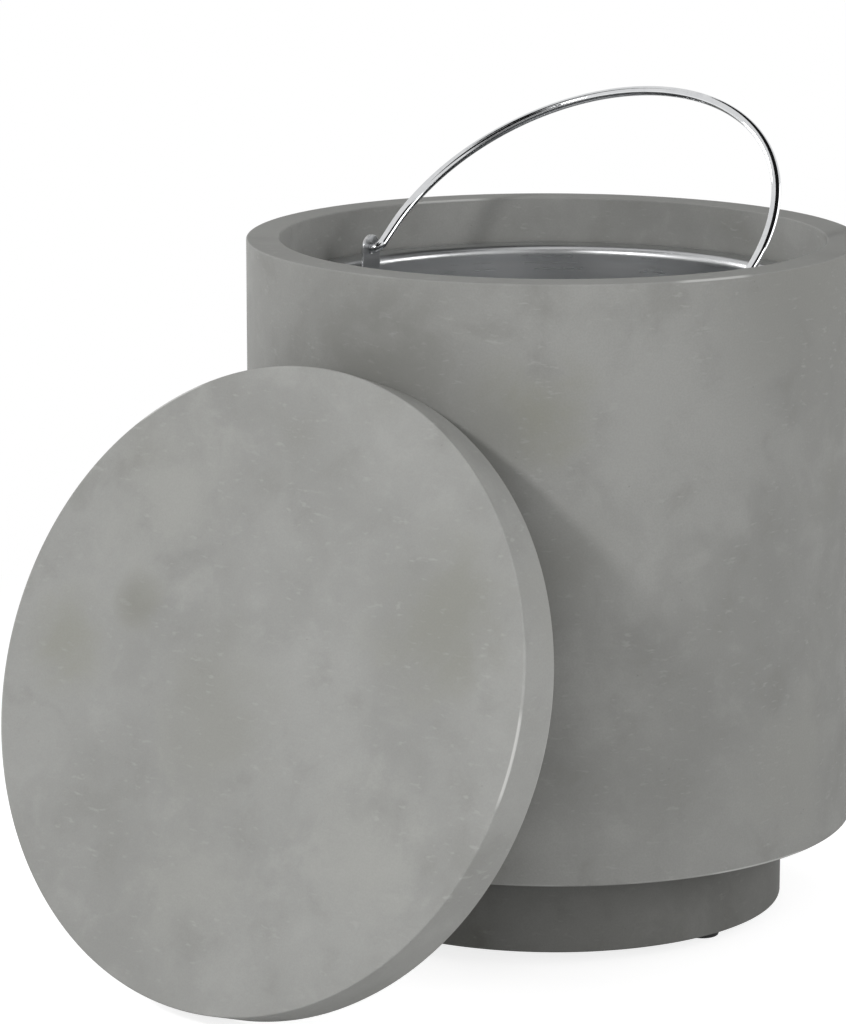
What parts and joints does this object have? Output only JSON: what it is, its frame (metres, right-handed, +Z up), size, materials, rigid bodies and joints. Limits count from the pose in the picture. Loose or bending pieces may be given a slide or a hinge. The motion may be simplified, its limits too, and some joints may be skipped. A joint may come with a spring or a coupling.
{
  "type": "ice bucket coffee table",
  "caption": "Round concrete side table whose drum holds a lift-out steel ice bucket with a swinging bail; the disc lid stands leaning on the drum.",
  "frame": {"origin": "on the ground, under the middle of the whole object's box; the drum's axis is at x = 0.007 m, y = 0.0807 m", "axes": "+Z up; the lid leans on the drum's -Y side; the bail's pivots lie along X"},
  "size_m": [0.414, 0.5614, 0.5331],
  "materials": {
    "concrete": "matte, mid-grey, cloudy",
    "bucket_steel": "satin stainless",
    "bail_chrome": "bright polished",
    "zinc_steel": "zinc plated",
    "insert_brass": "plain",
    "foot_rubber": "matte black",
    "bumper_clear": "frosted clear, soft"
  },
  "bodies": {
    "root": {"drum_shell": "concrete", "plinth": "concrete", "floor_insert_1": "insert_brass", "plinth_washer_1": "zinc_steel", "plinth_bolt_1": "zinc_steel", "floor_insert_2": "insert_brass", "plinth_washer_2": "zinc_steel", "plinth_bolt_2": "zinc_steel", "floor_insert_3": "insert_brass", "plinth_washer_3": "zinc_steel", "plinth_bolt_3": "zinc_steel", "floor_insert_4": "insert_brass", "plinth_washer_4": "zinc_steel", "plinth_bolt_4": "zinc_steel", "foot_pad_1": "foot_rubber", "foot_stud_1": "zinc_steel", "foot_pad_2": "foot_rubber", "foot_stud_2": "zinc_steel", "foot_pad_3": "foot_rubber", "foot_stud_3": "zinc_steel", "foot_pad_4": "foot_rubber", "foot_stud_4": "zinc_steel"},
    "ice_bucket": {"bucket_shell": "bucket_steel", "bail_ear_right": "bucket_steel", "bail_ear_left": "bucket_steel", "ear_rivet_right_front": "bucket_steel", "ear_rivet_right_rear": "bucket_steel", "ear_rivet_left_front": "bucket_steel", "ear_rivet_left_rear": "bucket_steel"},
    "bail": {"bail_handle": "bail_chrome"},
    "lid": {"lid_slab": "concrete", "lid_bumper_1": "bumper_clear", "lid_bumper_2": "bumper_clear", "lid_bumper_3": "bumper_clear", "lid_bumper_4": "bumper_clear"}
  },
  "joints": [
    {"name": "bucket_lift", "type": "slide", "parent": "root", "child": "ice_bucket", "axis": [0, 0, 1], "range_m": [0, 0.27]},
    {"name": "bail_swing", "type": "hinge", "parent": "ice_bucket", "child": "bail", "pos_m": [0.007, 0.0807, 0.4258], "axis": [1, 0, 0], "range_deg": [-39, 141]},
    {"name": "lid_lift", "type": "slide", "parent": "root", "child": "lid", "axis": [0, -0.9455, 0.3256], "range_m": [0, 0.25]}
  ]
}
